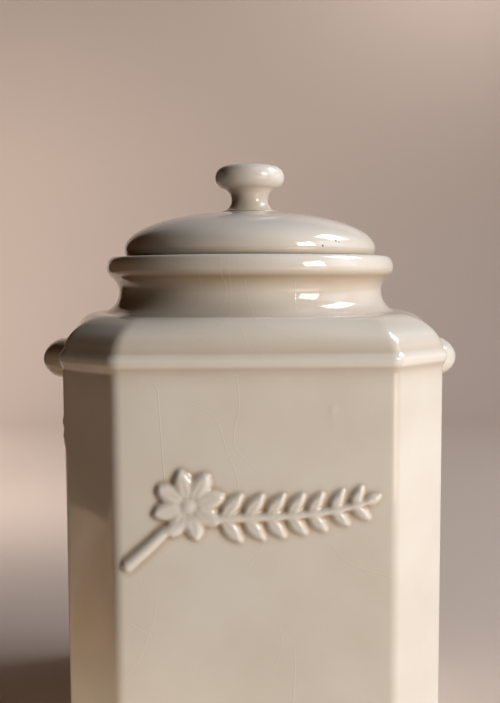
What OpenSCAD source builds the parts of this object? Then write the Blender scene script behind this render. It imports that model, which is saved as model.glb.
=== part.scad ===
// Lidded biscuit jar in glazed earthenware.
// The body is a square canister with chamfered corners, cast in one piece. A beaded ledge
// finishes its walls, and a soft shoulder carries the square plan over to a round neck with a
// rolled rim. A lug is luted to each side under the ledge. The domed lid drops into the mouth
// on a flange, and its turned knob is luted to a flat seat on top.
// Millimetres, +Z up, front to -Y, with the origin on the table under the middle of the jar.

/* [Jar body] */
// Width of the jar across its flat sides
body_w = 161; // [159:1:180]
// Length that a corner chamfer takes off the end of each side
corner_cut = 24; // [18:1:30]
// Radius of the soft edge between a side and a chamfer
edge_r = 10; // [9:0.5:14]
// Height of the plain walls, from the table to the ledge
wall_h = 180; // [130:1:220]
// Thickness of the cast wall
wall = 6; // [4:0.5:7]
// Thickness of the floor over the foot recess
floor_t = 5; // [4:0.5:9]
// Radius inside, between the floor and the walls
floor_r = 9; // [5:1:14]
// Radius that rounds the walls in to the foot
foot_r = 4; // [2:0.5:6]
// Width of the unglazed ring that the jar stands on
foot_ring_w = 8; // [6:0.5:14]
// Depth of the recess inside the foot ring
foot_recess = 2; // [1:0.5:3.5]

/* [Ledge and shoulder] */
// Reach of the ledge's bead beyond the wall
ledge_out = 1.9; // [1.5:0.1:4]
// Height of the bead's crest above the top of the wall
ledge_crest = 4.3; // [3:0.1:5.5]
// Height of the whole bead
ledge_h = 7.2; // [6:0.1:10]
// Reach of the shoulder's foot beyond the wall
shoulder_out = 0.8; // [0:0.1:1.4]
// Rise of the shoulder above the bead
shoulder_h = 13.8; // [9:0.2:30]
// Fullness of the shoulder's curve, where 2 is an ellipse and more is squarer
shoulder_full = 2.7; // [2:0.05:4]
// Share of a circle in the plan where the shoulder meets the neck
top_round = 0.7; // [0.4:0.05:1]
// How late the plan turns round on its way up the shoulder
round_late = 2.5; // [1:0.1:4]

/* [Neck and rim] */
// Radius of the neck at its narrowest
neck_r = 62.6; // [60:0.1:64]
// Radius of the hollow between the shoulder and the neck
root_r = 9.5; // [7:0.1:10]
// Radius of the hollow between the neck and the rim
throat_r = 8.7; // [7.5:0.1:9.5]
// Reach of the rolled rim beyond the neck
rim_out = 5.5; // [3.5:0.1:7.5]
// Height of the rim's widest line above the narrowest of the neck
rim_rise = 10.7; // [10:0.1:14]
// Height of the rim's top above its widest line
rim_top_h = 5.5; // [4:0.1:8]
// Width of the round on the rim's top edge
rim_round = 3.1; // [2:0.1:5]
// Thickness of the neck at its narrowest, which sets the mouth that the lid drops into
neck_wall = 6.6; // [5.5:0.1:10]
// Radius that eases the edge of the mouth
mouth_ease = 0.8; // [0.5:0.1:1.5]
// Radius inside, where the mouth opens under the shoulder
throat_in_r = 6; // [4:0.5:8]

/* [Lugs] */
// Reach of a lug from the wall
lug_reach = 17.5; // [15:0.5:24]
// Length of a lug along the wall
lug_len = 48; // [44:1:70]
// Thickness of a lug from top to bottom
lug_t = 18.6; // [12:0.2:24]
// Height of a lug's middle above the top of the wall
lug_rise = -1; // [-4:0.5:3]
// Radius of the fillet under a lug and at its ends, where it grows out of the wall
lug_fillet = 5; // [2:0.5:7]
// Fullness of a lug seen from its side, where 2 is an ellipse and more is squarer
lug_full = 2.5; // [2:0.1:4]

/* [Lid] */
// How far the lid laps over the edge of the mouth
lid_lap = 3.7; // [2.5:0.1:7]
// Height of the lid's widest line above the seat
lid_edge_h = 3.2; // [2:0.1:5]
// How far the lid's lower edge turns in from the widest line
lid_edge_in = 1.7; // [1:0.1:2.6]
// Rise of the dome above the lid's widest line
lid_dome_h = 18.2; // [12:0.1:26]
// Fullness of the dome, where 2 is an ellipse and more is squarer
lid_full = 2.07; // [2:0.01:3]
// Thickness of the dome
lid_t = 6; // [4.5:0.5:8]
// Depth of the flange below the seat
flange_h = 9; // [6:0.5:14]
// Thickness of the flange
flange_t = 4.5; // [3:0.5:7]
// Play between the flange and the mouth
flange_play = 1.2; // [0.8:0.1:2.5]
// Glaze gap between the lid and the rim that it rests on
seat_gap = 0.2; // [0.1:0.05:0.4]

/* [Knob] */
// Radius of the knob at its widest
knob_r = 16.5; // [14:0.1:20]
// Radius of the knob's waist
knob_waist_r = 8.7; // [7.5:0.1:9.5]
// Radius of the hollows above and below the waist
knob_hollow_r = 5.6; // [4.8:0.1:5.8]
// Radius of the foot that is luted to the lid
knob_foot_r = 13.2; // [12.8:0.1:13.8]
// Height of the waist above the foot
knob_waist_h = 6; // [5.8:0.1:7]
// Height of the widest line above the waist
knob_bead_h = 10.5; // [9.5:0.1:13]
// Height of the knob's domed top above its widest line
knob_top_h = 6.6; // [6:0.1:7.5]

/* [Hidden] */
$fn = 96;
glaze = "#E3D6BF";

// Steps along a side, a chamfer and a soft edge of the plan, and along a curve of the profile
side_n = 6;
chamfer_n = 3;
edge_n = 3;
curve_n = 12;
bead_n = 4;
lug_n = 32;
ARC_STEP = 6;        // degrees between the points of a turned profile's arcs
BITE = 0.2;          // dip of the neck's hollows under the shoulder's flat, so that they meet it in a line
OVER = 1;            // length that a cut runs past the face it opens
LUG_ROOT = 4;        // depth that a lug starts inside the wall, before it is scribed to the body
LUG_TIP = 86;        // degrees round a lug's nose at which its small flat tip closes it

// Plan: the sides lie at half_w and the chamfers at chamfer_d from the axis
half_w = body_w / 2;
chamfer_d = (body_w - corner_cut) / sqrt(2);

// Radii, each built on the neck's
rim_r = neck_r + rim_out;
mouth_r = neck_r - neck_wall;
lid_r = mouth_r + lid_lap;

// Heights, each built on the one below
z_shoulder = wall_h + ledge_h;
z_flat = z_shoulder + shoulder_h;
z_neck = z_flat - BITE + root_r;
z_rim = z_neck + rim_rise;
z_mouth = z_rim + rim_top_h;
z_seat = z_mouth + seat_gap;
z_lid = z_seat + lid_edge_h;
z_knob = z_lid + dome_rise(knob_foot_r);

// The flat on top of the shoulder ends where the neck's root has nearly levelled out
flat_r = neck_r + root_r - 1;
flat_off = flat_r - half_w;
flange_r = mouth_r - flange_play;

// Points of an arc round [cx, cz] from angle a0 to a1
function arc(cx, cz, r, a0, a1) =
    let (n = max(2, ceil(abs(a1 - a0) / ARC_STEP)))
    [for (i = [0:n]) let (a = a0 + (a1 - a0) * i / n) [cx + r * cos(a), cz + r * sin(a)]];

// Points of a quarter ellipse round [cx, cz] from angle a0 to a1
function oval(cx, cz, rx, rz, a0, a1) =
    let (n = ceil(abs(a1 - a0) / ARC_STEP))
    [for (i = [0:n]) let (a = a0 + (a1 - a0) * i / n) [cx + rx * cos(a), cz + rz * sin(a)]];

// Radius of a bead, widest at bead_x, that meets a hollow of radius r round hollow_x smoothly
// when its widest line is dz above the hollow's middle
function bead_radius(hollow_x, bead_x, dz, r) =
    let (dx = hollow_x - bead_x) (dx * dx + dz * dz - r * r) / (2 * (r - dx));

// Points of the dome's curve from angle a0 to a1, out to rx and up to rz above the lid's widest line
function superoval(rx, rz, a0, a1) =
    [for (i = [0:2 * curve_n])
        let (a = a0 + (a1 - a0) * i / (2 * curve_n))
        [rx * pow(cos(a), 2 / lid_full), z_lid + rz * pow(sin(a), 2 / lid_full)]];

// Rise of the lid's dome above its widest line at radius x
function dome_rise(x) = lid_dome_h * pow(1 - pow(x / lid_r, lid_full), 1 / lid_full);

// One quadrant of the plan set off outwards by off: a side, a soft edge, the chamfer, a soft edge
function quadrant(off) =
    let (w = half_w + off, d = chamfer_d + off, r = max(1, edge_r + off),
         reach = sqrt(2) * (d - r) - (w - r),
         p = [w - r + r * cos(45), reach + r * sin(45)])
    concat(
        [for (i = [0:side_n - 1]) [w, reach * (2 * i / side_n - 1)]],
        [for (i = [0:edge_n - 1]) let (a = 45 * i / edge_n) [w - r + r * cos(a), reach + r * sin(a)]],
        [for (i = [0:chamfer_n - 1]) p + (i / chamfer_n) * ([p[1], p[0]] - p)],
        [for (i = [0:edge_n - 1]) let (a = 45 + 45 * i / edge_n) [reach + r * cos(a), w - r + r * sin(a)]]
    );

// The plan, drawn towards a circle by the share m, as a closed ring of points at height z
function ring(off, z, m) =
    [for (q = [0:3]) for (p = quadrant(off))
        let (a = 90 * q, s = 1 - m + m * (half_w + off) / norm(p))
        [s * (p[0] * cos(a) - p[1] * sin(a)), s * (p[0] * sin(a) + p[1] * cos(a)), z]];

// Share of a circle in the plan at height z
function roundness(z) = top_round * pow(max(0, z - wall_h) / (z_flat - wall_h), round_late);

// The shoulder as [off, z] along its curve, inset from the outer face by t
function shoulder_at(a, t) =
    [flat_off + (shoulder_out - t - flat_off) * pow(cos(a), 2 / shoulder_full),
     z_shoulder + (shoulder_h - t) * pow(sin(a), 2 / shoulder_full)];

// A solid through a stack of rings, closed at both ends by a fan of faces round the axis
module loft(rings) {
    n = len(rings[0]);
    top = n * (len(rings) - 1);
    foot_mid = n * len(rings);
    polyhedron(
        points = concat(
            [for (r = rings) each r],
            [[0, 0, rings[0][0][2]], [0, 0, rings[len(rings) - 1][0][2]]]
        ),
        faces = concat(
            [for (i = [0:n - 1]) [foot_mid, i, (i + 1) % n]],
            [for (k = [0:len(rings) - 2]) for (i = [0:n - 1])
                let (j = (i + 1) % n) [k * n + i, (k + 1) * n + i, (k + 1) * n + j, k * n + j]],
            [for (i = [0:n - 1]) [foot_mid + 1, top + (i + 1) % n, top + i]]
        )
    );
}

// The outside of the cast body up to the flat on its shoulder
module body_form() {
    loft(concat(
        [for (i = [0:bead_n]) let (a = 90 * i / bead_n)
            ring(-foot_r * (1 - sin(a)), foot_r * (1 - cos(a)), 0)],
        [for (i = [0:bead_n]) let (a = 90 * i / bead_n, z = wall_h + ledge_crest * (1 - cos(a)))
            ring(ledge_out * sin(a), z, roundness(z))],
        [for (i = [1:bead_n]) let (u = i / bead_n, z = wall_h + ledge_crest + (ledge_h - ledge_crest) * u)
            ring(ledge_out + (shoulder_out - ledge_out) * u * u * (3 - 2 * u), z, roundness(z))],
        [for (i = [1:curve_n]) let (s = shoulder_at(90 * i / curve_n, 0))
            ring(s[0], s[1], roundness(s[1]))]
    ));
}

// The room inside the cast walls, up to the underside of the shoulder
module body_room() {
    z_floor = foot_recess + floor_t;
    loft(concat(
        [for (i = [0:bead_n]) let (a = 90 * i / bead_n)
            ring(-wall - floor_r * (1 - sin(a)), z_floor + floor_r * (1 - cos(a)), 0)],
        [ring(-wall, wall_h, 0)],
        [for (i = [0:curve_n]) let (a = 90 * i / curve_n, s = shoulder_at(a, wall))
            ring(s[0], s[1], roundness(shoulder_at(a, 0)[1]))]
    ));
}

// The turned neck and rolled rim, standing in the flat of the shoulder
module neck() {
    root_x = neck_r + root_r;
    throat_x = neck_r + throat_r;
    bead_r = bead_radius(throat_x, rim_r, rim_rise, throat_r);
    meet = atan2(rim_rise, rim_r - bead_r - throat_x);
    start = asin((root_r - BITE / 2) / root_r) + 180;
    rotate_extrude()
        polygon(concat(
            [[0, z_flat - wall + OVER], [root_x + root_r * cos(start), z_flat - wall + OVER]],
            arc(root_x, z_neck, root_r, start, 180),
            arc(throat_x, z_neck, throat_r, 180, meet),
            arc(rim_r - bead_r, z_rim, bead_r, meet - 180, 0),
            oval(rim_r - rim_round, z_rim, rim_round, rim_top_h, 0, 90),
            [[0, z_mouth]]
        ));
}

// The bore of the mouth, eased at the top and opening out under the shoulder
module mouth() {
    z_roof = z_flat - wall;
    start = asin((throat_in_r - BITE / 2) / throat_in_r) + 180;
    x = mouth_r + throat_in_r;
    z = z_roof - BITE + throat_in_r;
    rotate_extrude()
        polygon(concat(
            [[0, z_roof - OVER], [x + throat_in_r * cos(start), z_roof - OVER]],
            arc(x, z, throat_in_r, start, 180),
            arc(mouth_r + mouth_ease, z_mouth - mouth_ease, mouth_ease, 180, 90),
            [[mouth_r + mouth_ease, z_mouth + OVER], [0, z_mouth + OVER]]
        ));
}

// The recess that leaves a ring for the jar to stand on
module foot_hollow() {
    translate([0, 0, -OVER])
        linear_extrude(foot_recess + OVER)
            polygon([for (p = ring(-foot_r - foot_ring_w, 0, 0)) [p[0], p[1]]]);
}

module jar_body() {
    color(glaze)
        difference() {
            union() {
                body_form();
                neck();
            }
            body_room();
            mouth();
            foot_hollow();
        }
}

// Flare of a lug's root at depth x from the wall, as the round of its fillet
function lug_flare(x) =
    let (left = max(0, lug_fillet - max(0, x))) lug_fillet - sqrt(lug_fillet * lug_fillet - left * left);

// Outline of a lug at depth x from the wall, drawn as a full oval with its underside at +X.
// The root flares underneath and at both ends, and the top runs straight into the shoulder.
function lug_ring(x) =
    let (nose = lug_t / 2,
         past = max(0, x - lug_reach + nose),
         high = sqrt(nose * nose - past * past),
         long = lug_len / 2 - lug_reach + sqrt(lug_reach * lug_reach - max(0, x) * max(0, x)) + lug_flare(x))
    [for (i = [0:lug_n - 1])
        let (c = cos(360 * i / lug_n), s = sin(360 * i / lug_n), drop = c > 0 ? lug_flare(x) : 0)
        [(high + drop) * sign(c) * pow(abs(c), 2 / lug_full), long * sign(s) * pow(abs(s), 2 / lug_full), x]];

// A lug on the side at +X, scribed to the wall, the ledge and the shoulder
module lug() {
    nose = lug_t / 2;
    stations = concat(
        [-LUG_ROOT],
        [for (i = [0:bead_n]) lug_fillet * (1 - cos(90 * i / bead_n))],
        [for (i = [0:2 * bead_n]) lug_reach - nose + nose * sin(LUG_TIP * i / (2 * bead_n))]
    );
    difference() {
        translate([half_w, 0, wall_h + lug_rise])
            rotate([0, 90, 0]) loft([for (x = stations) lug_ring(x)]);
        body_form();
    }
}

module right_lug() {
    color(glaze) lug();
}

module left_lug() {
    color(glaze) mirror([1, 0, 0]) lug();
}

// The domed lid: outer skin from the edge to the knob's seat, then the hollow and the flange
module lid() {
    inner_r = flange_r - flange_t;
    inner_h = lid_dome_h - lid_t;
    nose = flange_t / 2;
    seat_a = acos(pow(knob_foot_r / lid_r, lid_full / 2));
    color(glaze)
        rotate_extrude()
            polygon(concat(
                oval(lid_r - lid_edge_in, z_lid, lid_edge_in, lid_edge_h, -90, -ARC_STEP),
                superoval(lid_r, lid_dome_h, 0, seat_a),
                superoval(inner_r, inner_h, 90, 0),
                arc(flange_r - nose, z_seat - flange_h + nose, nose, -180, 0),
                [[flange_r, z_seat]]
            ));
}

// The turned knob: foot, hollow, waist, hollow, bead and a slightly domed top
module lid_knob() {
    hollow_x = knob_waist_r + knob_hollow_r;
    z_waist = z_knob + knob_waist_h;
    z_bead = z_waist + knob_bead_h;
    bead_r = bead_radius(hollow_x, knob_r, knob_bead_h, knob_hollow_r);
    bead_x = knob_r - bead_r;
    meet = atan2(knob_bead_h, bead_x - hollow_x);
    foot_a = 180 + acos((hollow_x - knob_foot_r) / knob_hollow_r);
    // The top is an arc round the axis that lies on the bead and is knob_top_h above its middle
    dome_r = (bead_x * bead_x + knob_top_h * knob_top_h - bead_r * bead_r) / (2 * (knob_top_h - bead_r));
    dome_a = atan2(dome_r - knob_top_h, bead_x);
    color(glaze)
        rotate_extrude()
            polygon(concat(
                [[0, z_knob], [knob_foot_r, z_knob]],
                arc(hollow_x, z_waist, knob_hollow_r, foot_a, meet),
                arc(bead_x, z_bead, bead_r, meet - 180, dome_a),
                arc(0, z_bead + knob_top_h - dome_r, dome_r, dome_a, 90)
            ));
}

jar_body();
left_lug();
right_lug();
lid();
lid_knob();
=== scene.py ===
# %% [markdown]
# # A lidded biscuit jar in glazed earthenware
# The jar is a square canister with chamfered corners that was cast in one piece. Its shoulder
# turns the square plan into a round neck with a rolled rim, and a domed lid drops into the mouth.
# Everything is clay under a warm cream glaze, so the work is in two things: smooth surfaces that
# reflect cleanly, and a glaze that is thin on edges, pools in hollows and has crazed with age.

import bpy
import numpy as np
from mathutils import Matrix, Vector


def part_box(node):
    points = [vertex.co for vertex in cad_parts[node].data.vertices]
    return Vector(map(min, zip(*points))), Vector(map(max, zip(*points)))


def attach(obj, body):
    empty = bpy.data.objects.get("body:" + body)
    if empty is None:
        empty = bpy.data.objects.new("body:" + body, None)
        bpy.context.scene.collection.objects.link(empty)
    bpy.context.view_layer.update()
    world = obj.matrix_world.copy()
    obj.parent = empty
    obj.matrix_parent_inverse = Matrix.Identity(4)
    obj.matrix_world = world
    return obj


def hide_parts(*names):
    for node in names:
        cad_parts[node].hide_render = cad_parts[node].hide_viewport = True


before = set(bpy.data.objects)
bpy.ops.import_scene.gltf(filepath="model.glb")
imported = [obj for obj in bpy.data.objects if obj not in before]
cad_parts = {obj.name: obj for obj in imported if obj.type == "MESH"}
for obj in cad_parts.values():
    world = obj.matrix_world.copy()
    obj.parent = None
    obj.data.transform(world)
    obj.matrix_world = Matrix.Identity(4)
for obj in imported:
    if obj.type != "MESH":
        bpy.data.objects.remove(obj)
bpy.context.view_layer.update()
print("CAD nodes:", sorted(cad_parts))

# %% [markdown]
# Sizes are in millimetres, as a potter would give them, and are turned to metres where a mesh is
# made. The widths come from the frame, so the surfaces here lie on the solids that they dress.

# %% Driving sizes of the jar, in millimetres
MM = 0.001
body_high = np.array(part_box("jar_body")[1]) / MM
lid_high = np.array(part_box("lid")[1]) / MM
knob_high = np.array(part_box("lid_knob")[1]) / MM
lug_high = np.array(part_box("right_lug")[1]) / MM

LEDGE_OUT = 1.9
LEDGE_CREST = 4.3
LEDGE_H = 7.2
HALF_W = body_high[0] - LEDGE_OUT
CORNER_CUT = 24.0
EDGE_R = 6.5
SOFTER, SOFTER_UP_TO = 0.8, 10.0
CHAMFER_D = (2 * HALF_W - CORNER_CUT) / np.sqrt(2)
print(f"half width {HALF_W:.2f} mm, mouth at {body_high[2]:.2f} mm")

# %% [markdown]
# Each surface is a grid: one direction runs round the jar and the other along its profile. This
# helper turns such a grid of points into a mesh. A pole, where a profile meets the axis, is one
# vertex with a fan of triangles, so the surface is closed and its faces point outwards.


# %% Grid of points to a closed mesh
def grid_piece(name, points, attributes=None):
    """Rows of points that each go once round, the first and last row being poles on the axis.

    Row k and column j make the quad (k, j), (k, j + 1), (k + 1, j + 1), (k + 1, j), and the
    columns wrap round. Faces point outwards where the rows climb the outside of the piece and
    the columns run anticlockwise seen from above. Attributes are one number for each point.
    """
    rows, cols = points.shape[:2]
    inner = points[1:-1].reshape(-1, 3)
    verts = np.vstack([inner, points[0].mean(0), points[-1].mean(0)]) * MM
    k, j = np.meshgrid(np.arange(rows - 3), np.arange(cols), indexing="ij")
    nxt = (j + 1) % cols
    quads = np.stack([k * cols + j, k * cols + nxt, (k + 1) * cols + nxt, (k + 1) * cols + j], -1)
    col = np.arange(cols)
    first = np.full(cols, len(inner))
    start_fan = np.stack([first, (col + 1) % cols, col], -1)
    last_row = (rows - 3) * cols
    end_fan = np.stack([first + 1, last_row + col, last_row + (col + 1) % cols], -1)
    mesh = bpy.data.meshes.new(name)
    faces = quads.reshape(-1, 4).tolist() + start_fan.tolist() + end_fan.tolist()
    mesh.from_pydata(verts.tolist(), [], faces)
    mesh.polygons.foreach_set("use_smooth", np.ones(len(faces), bool))
    for key, values in (attributes or {}).items():
        flat = np.concatenate([values[1:-1].ravel(), [values[0].mean(), values[-1].mean()]])
        layer = mesh.attributes.new(key, "FLOAT", "POINT")
        layer.data.foreach_set("value", flat.astype(np.float32))
    mesh.update()
    piece = bpy.data.objects.new(name, mesh)
    bpy.context.scene.collection.objects.link(piece)
    triangles = 2 * quads.shape[0] * quads.shape[1] + 2 * cols
    print(f"{name}: {len(verts)} vertices, {triangles} triangles")
    return piece


# %% [markdown]
# The profile is drawn the way a template for a turned pot is: arcs that run into each other. Each
# arc is a handful of points between two angles.


# %% Curves of a profile
def arc(cx, cz, rx, rz, a0, a1, n):
    """n points of an ellipse: centre plus (rx cos a, rz sin a), for a from a0 to a1 degrees."""
    a = np.radians(np.linspace(a0, a1, n))
    return np.stack([cx + rx * np.cos(a), cz + rz * np.sin(a)], -1)


def superoval(cx, cz, rx, rz, full, a0, a1, n):
    """Like arc, with cos and sin raised to 2 / full, so a full above 2 makes a squarer quarter."""
    a = np.radians(np.linspace(a0, a1, n))
    c, s = np.clip(np.cos(a), 0, 1), np.clip(np.sin(a), 0, 1)
    return np.stack([cx + rx * c ** (2 / full), cz + rz * s ** (2 / full)], -1)


def bead_radius(hollow_x, bead_x, dz, r):
    """Radius of a bead whose widest point is at bead_x, dz above the middle of a hollow of radius
    r round hollow_x, when bead and hollow touch smoothly."""
    dx = hollow_x - bead_x
    return (dx * dx + dz * dz - r * r) / (2 * (r - dx))


# %% [markdown]
# ## The cast body
# The plan is a square with chamfered corners and soft edges. Going up the shoulder it turns
# round: every point moves along its own spoke towards a circle. Columns are closest together on
# the front panel and the front chamfers, because the moulded sprig and the crazing need them.

# %% How many columns each stretch of the plan has: side, soft edge, chamfer, soft edge
COLUMNS = {
    "right": (14, 5, 4, 5),
    "back": (16, 5, 4, 5),
    "left": (14, 6, 12, 6),
    "front": (190, 6, 12, 6),
}


# %% The plan of the body
def plan(off):
    """x and y of the plan, set off outwards by each value of off, as arrays of rows by columns.

    A side lies at half width plus off, and a chamfer at its distance plus off. Soft edges are
    arcs that touch both. Their radius is the edge radius, and grows both outwards and inwards,
    because the shoulder gets softer as it climbs. Each quarter is the first one, turned.
    """
    off = np.asarray(off, float)[:, None]
    w, d = HALF_W + off, CHAMFER_D + off
    r = EDGE_R + np.maximum(off, SOFTER * np.clip(-off, 0, SOFTER_UP_TO))
    reach = np.sqrt(2) * (d - r) - (w - r)
    c45 = np.sqrt(0.5)
    p = np.stack([w - r + r * c45, reach + r * c45])
    xs, ys = [], []
    for turn, (n_side, n_in, n_chamfer, n_out) in enumerate(COLUMNS.values()):
        side = np.linspace(-1, 1, n_side, endpoint=False)
        a_in = np.radians(np.linspace(0, 45, n_in, endpoint=False))
        across = np.linspace(0, 1, n_chamfer, endpoint=False)
        a_out = np.radians(np.linspace(45, 90, n_out, endpoint=False))
        u = np.hstack([
            w + 0 * side,
            w - r + r * np.cos(a_in),
            p[0] + across * (p[1] - p[0]),
            reach + r * np.cos(a_out),
        ])
        v = np.hstack([
            reach * side,
            reach + r * np.sin(a_in),
            p[1] + across * (p[0] - p[1]),
            w - r + r * np.sin(a_out),
        ])
        c, s = np.cos(turn * np.pi / 2), np.sin(turn * np.pi / 2)
        xs.append(u * c - v * s)
        ys.append(u * s + v * c)
    return np.hstack(xs), np.hstack(ys)


def rings(off, z, m):
    """Points of the plan at each off and height z, drawn towards a circle by the share m.

    Known fault: on the axis this divides 0 by 0. So the middle of the foot's recess and that of
    the floor, the two poles of the body, get no place, and an export sets both at the origin.
    """
    off, z, m = (np.asarray(a, float) for a in (off, z, m))
    x, y = plan(off)
    s = 1 - m[:, None] + m[:, None] * (HALF_W + off)[:, None] / np.hypot(x, y)
    return np.stack([s * x, s * y, np.broadcast_to(z[:, None], x.shape)], -1)


# %% [markdown]
# The profile goes from the middle of the foot, round the foot ring, up the wall, over the beaded
# ledge, the shoulder, the neck and the rolled rim, down the mouth and the inside, to the middle of
# the floor. Each row has its offset from the wall, its height, its share of a circle, and a number
# for the glaze's colour there. Above 0 it turns honey brown, for glaze that gathers in hollows and
# as painted shade in hollows, creases and under edges. Below 0 it turns paler, for glaze that runs
# off edges and as a painted highlight on them.

# %% Sizes of the profile, in millimetres
WALL, FLOOR_T, FLOOR_R = 6.0, 5.0, 9.0
FOOT_R, FOOT_RING_W, FOOT_RECESS = 4.0, 8.0, 2.0
SHOULDER_OUT, SHOULDER_H, SHOULDER_FULL = 0.8, 13.8, 2.7
TOP_ROUND, ROUND_LATE = 0.7, 2.5
NECK_R, ROOT_R, THROAT_R = 62.6, 9.5, 8.7
RIM_R, RIM_RISE, RIM_TOP_H, RIM_ROUND = NECK_R + 5.5, 10.7, 5.5, 3.1
MOUTH_R, MOUTH_EASE, THROAT_IN_R = NECK_R - 6.6, 0.8, 6.0
BITE = 0.2
WALL_TOP = body_high[2] - (LEDGE_H + SHOULDER_H - BITE + ROOT_R + RIM_RISE + RIM_TOP_H)
SPRIG_LOW, SPRIG_HIGH = WALL_TOP - 84.0, WALL_TOP - 34.0
FINE, COARSE = 0.6, 1.4

z_shoulder = WALL_TOP + LEDGE_H
z_flat = z_shoulder + SHOULDER_H
z_neck = z_flat - BITE + ROOT_R
z_rim = z_neck + RIM_RISE
z_mouth = z_rim + RIM_TOP_H
flat_off = NECK_R + ROOT_R - 1 - HALF_W


def roundness(z):
    """Share of a circle in the plan: nothing up to the wall's top, then a late, steep rise."""
    climb = np.clip(z - WALL_TOP, 0, None) / (z_flat - WALL_TOP)
    return TOP_ROUND * climb**ROUND_LATE


profile = []


def add_rows(off, z, pool_and_shade=0.0, m=None):
    """Adds rows to the profile. Without m, the plan turns round with the outside height z."""
    off, z = np.broadcast_arrays(np.atleast_1d(off).astype(float), np.atleast_1d(z).astype(float))
    m = roundness(z) if m is None else np.broadcast_to(m, z.shape)
    profile.append(np.stack([off, z, m, np.broadcast_to(pool_and_shade, z.shape)], -1))


def add_circles(points, pool_and_shade=0.0):
    """Adds round rows from (radius, height) points."""
    add_rows(points[:, 0] - HALF_W, points[:, 1], pool_and_shade, 1.0)


# %% Foot and walls
ring_in = -FOOT_R - FOOT_RING_W
add_rows(-HALF_W, FOOT_RECESS)
add_rows([-HALF_W / 2, ring_in - 0.5, ring_in], [FOOT_RECESS, FOOT_RECESS, FOOT_RECESS - 0.5])
add_rows([ring_in, ring_in + 0.3], [0.3, 0.0])
foot = arc(-FOOT_R, FOOT_R, FOOT_R, FOOT_R, -90, 0, 7)
add_rows(foot[:, 0], foot[:, 1])
add_rows(0, np.arange(FOOT_R + COARSE, SPRIG_LOW, COARSE))
sprig_rows = np.arange(SPRIG_LOW, SPRIG_HIGH, FINE)
add_rows(0, sprig_rows)
upper = np.arange(SPRIG_HIGH, WALL_TOP - 2.6, COARSE)
# Painted shade: the colour number darkens the wall just under the ledge.
add_rows(0, upper, 0.3 * np.exp(-(((WALL_TOP - upper) / 5) ** 2)))

# %% [markdown]
# The corner under the bead of the ledge isn't sharp: glaze has run into it. Its curve leaves the
# wall upright and meets the bead at the bead's own slope, as a cubic with those two slopes.

# %% Ledge and shoulder
FILL_BELOW, FILL_ABOVE = 2.0, 0.9
meet_off = LEDGE_OUT * np.sqrt(1 - (1 - FILL_ABOVE / LEDGE_CREST) ** 2)
meet_slope = LEDGE_OUT**2 / LEDGE_CREST * (1 - FILL_ABOVE / LEDGE_CREST) / meet_off
t = np.linspace(0, 1, 8)[:-1]
fill = FILL_BELOW + FILL_ABOVE
fill_off = meet_off * t**2 * (3 - 2 * t) + fill * meet_slope * t**2 * (t - 1)
# Painted shade in the corner under the bead and over the bead's top, and a paler, painted highlight
# on its crest; on the shoulder, painted shade at its foot and top.
add_rows(fill_off, WALL_TOP - FILL_BELOW + fill * t, np.linspace(0.3, 0.5, 7))
bead_start = np.degrees(np.arccos(1 - FILL_ABOVE / LEDGE_CREST)) - 90
bead = arc(0, WALL_TOP + LEDGE_CREST, LEDGE_OUT, LEDGE_CREST, bead_start, 0, 8)
add_rows(bead[:, 0], bead[:, 1], np.linspace(0.4, -0.7, 8))
fall = np.linspace(0, 1, 8)[1:]
over_bead = LEDGE_OUT + (SHOULDER_OUT - LEDGE_OUT) * fall**2 * (3 - 2 * fall)
top_of_bead = WALL_TOP + LEDGE_CREST + (LEDGE_H - LEDGE_CREST) * fall
add_rows(over_bead, top_of_bead, np.linspace(-0.4, 0.45, 7))
shoulder_w = SHOULDER_OUT - flat_off
shoulder = superoval(flat_off, z_shoulder, shoulder_w, SHOULDER_H, SHOULDER_FULL, 0, 90, 27)[1:]
shoulder_pool_and_shade = np.interp(np.linspace(0, 1, 26), [0, 0.2, 1], [0.3, 0, 0.15])
add_rows(shoulder[:, 0], shoulder[:, 1], shoulder_pool_and_shade)

# %% Neck and rolled rim
root_x, throat_x = NECK_R + ROOT_R, NECK_R + THROAT_R
bead_r = bead_radius(throat_x, RIM_R, RIM_RISE, THROAT_R)
meet = np.degrees(np.arctan2(RIM_RISE, RIM_R - bead_r - throat_x))
start = 180 + np.degrees(np.arcsin((ROOT_R - BITE / 2) / ROOT_R))
neck_root = arc(root_x, z_neck, ROOT_R, ROOT_R, start, 180, 14)
# Painted shade round the neck's foot and deepest in the throat under the rim; a paler, painted
# highlight on the rim's top.
add_circles(neck_root, np.interp(np.arange(14), [0, 5, 13], [0.35, 0.25, 0.1]))
throat = arc(throat_x, z_neck, THROAT_R, THROAT_R, 180, meet, 13)[1:]
add_circles(throat, np.linspace(0.2, 1.0, 12))
rim_bead = arc(RIM_R - bead_r, z_rim, bead_r, bead_r, meet - 180, 0, 9)[1:]
add_circles(rim_bead, np.linspace(0.9, 0.0, 8))
rim_top = arc(RIM_R - RIM_ROUND, z_rim, RIM_ROUND, RIM_TOP_H, 0, 90, 14)[1:]
add_circles(rim_top, np.linspace(0.0, -0.7, 13))

# %% Mouth and inside
mouth = arc(MOUTH_R + MOUTH_EASE, z_mouth - MOUTH_EASE, MOUTH_EASE, MOUTH_EASE, 90, 180, 5)
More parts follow.
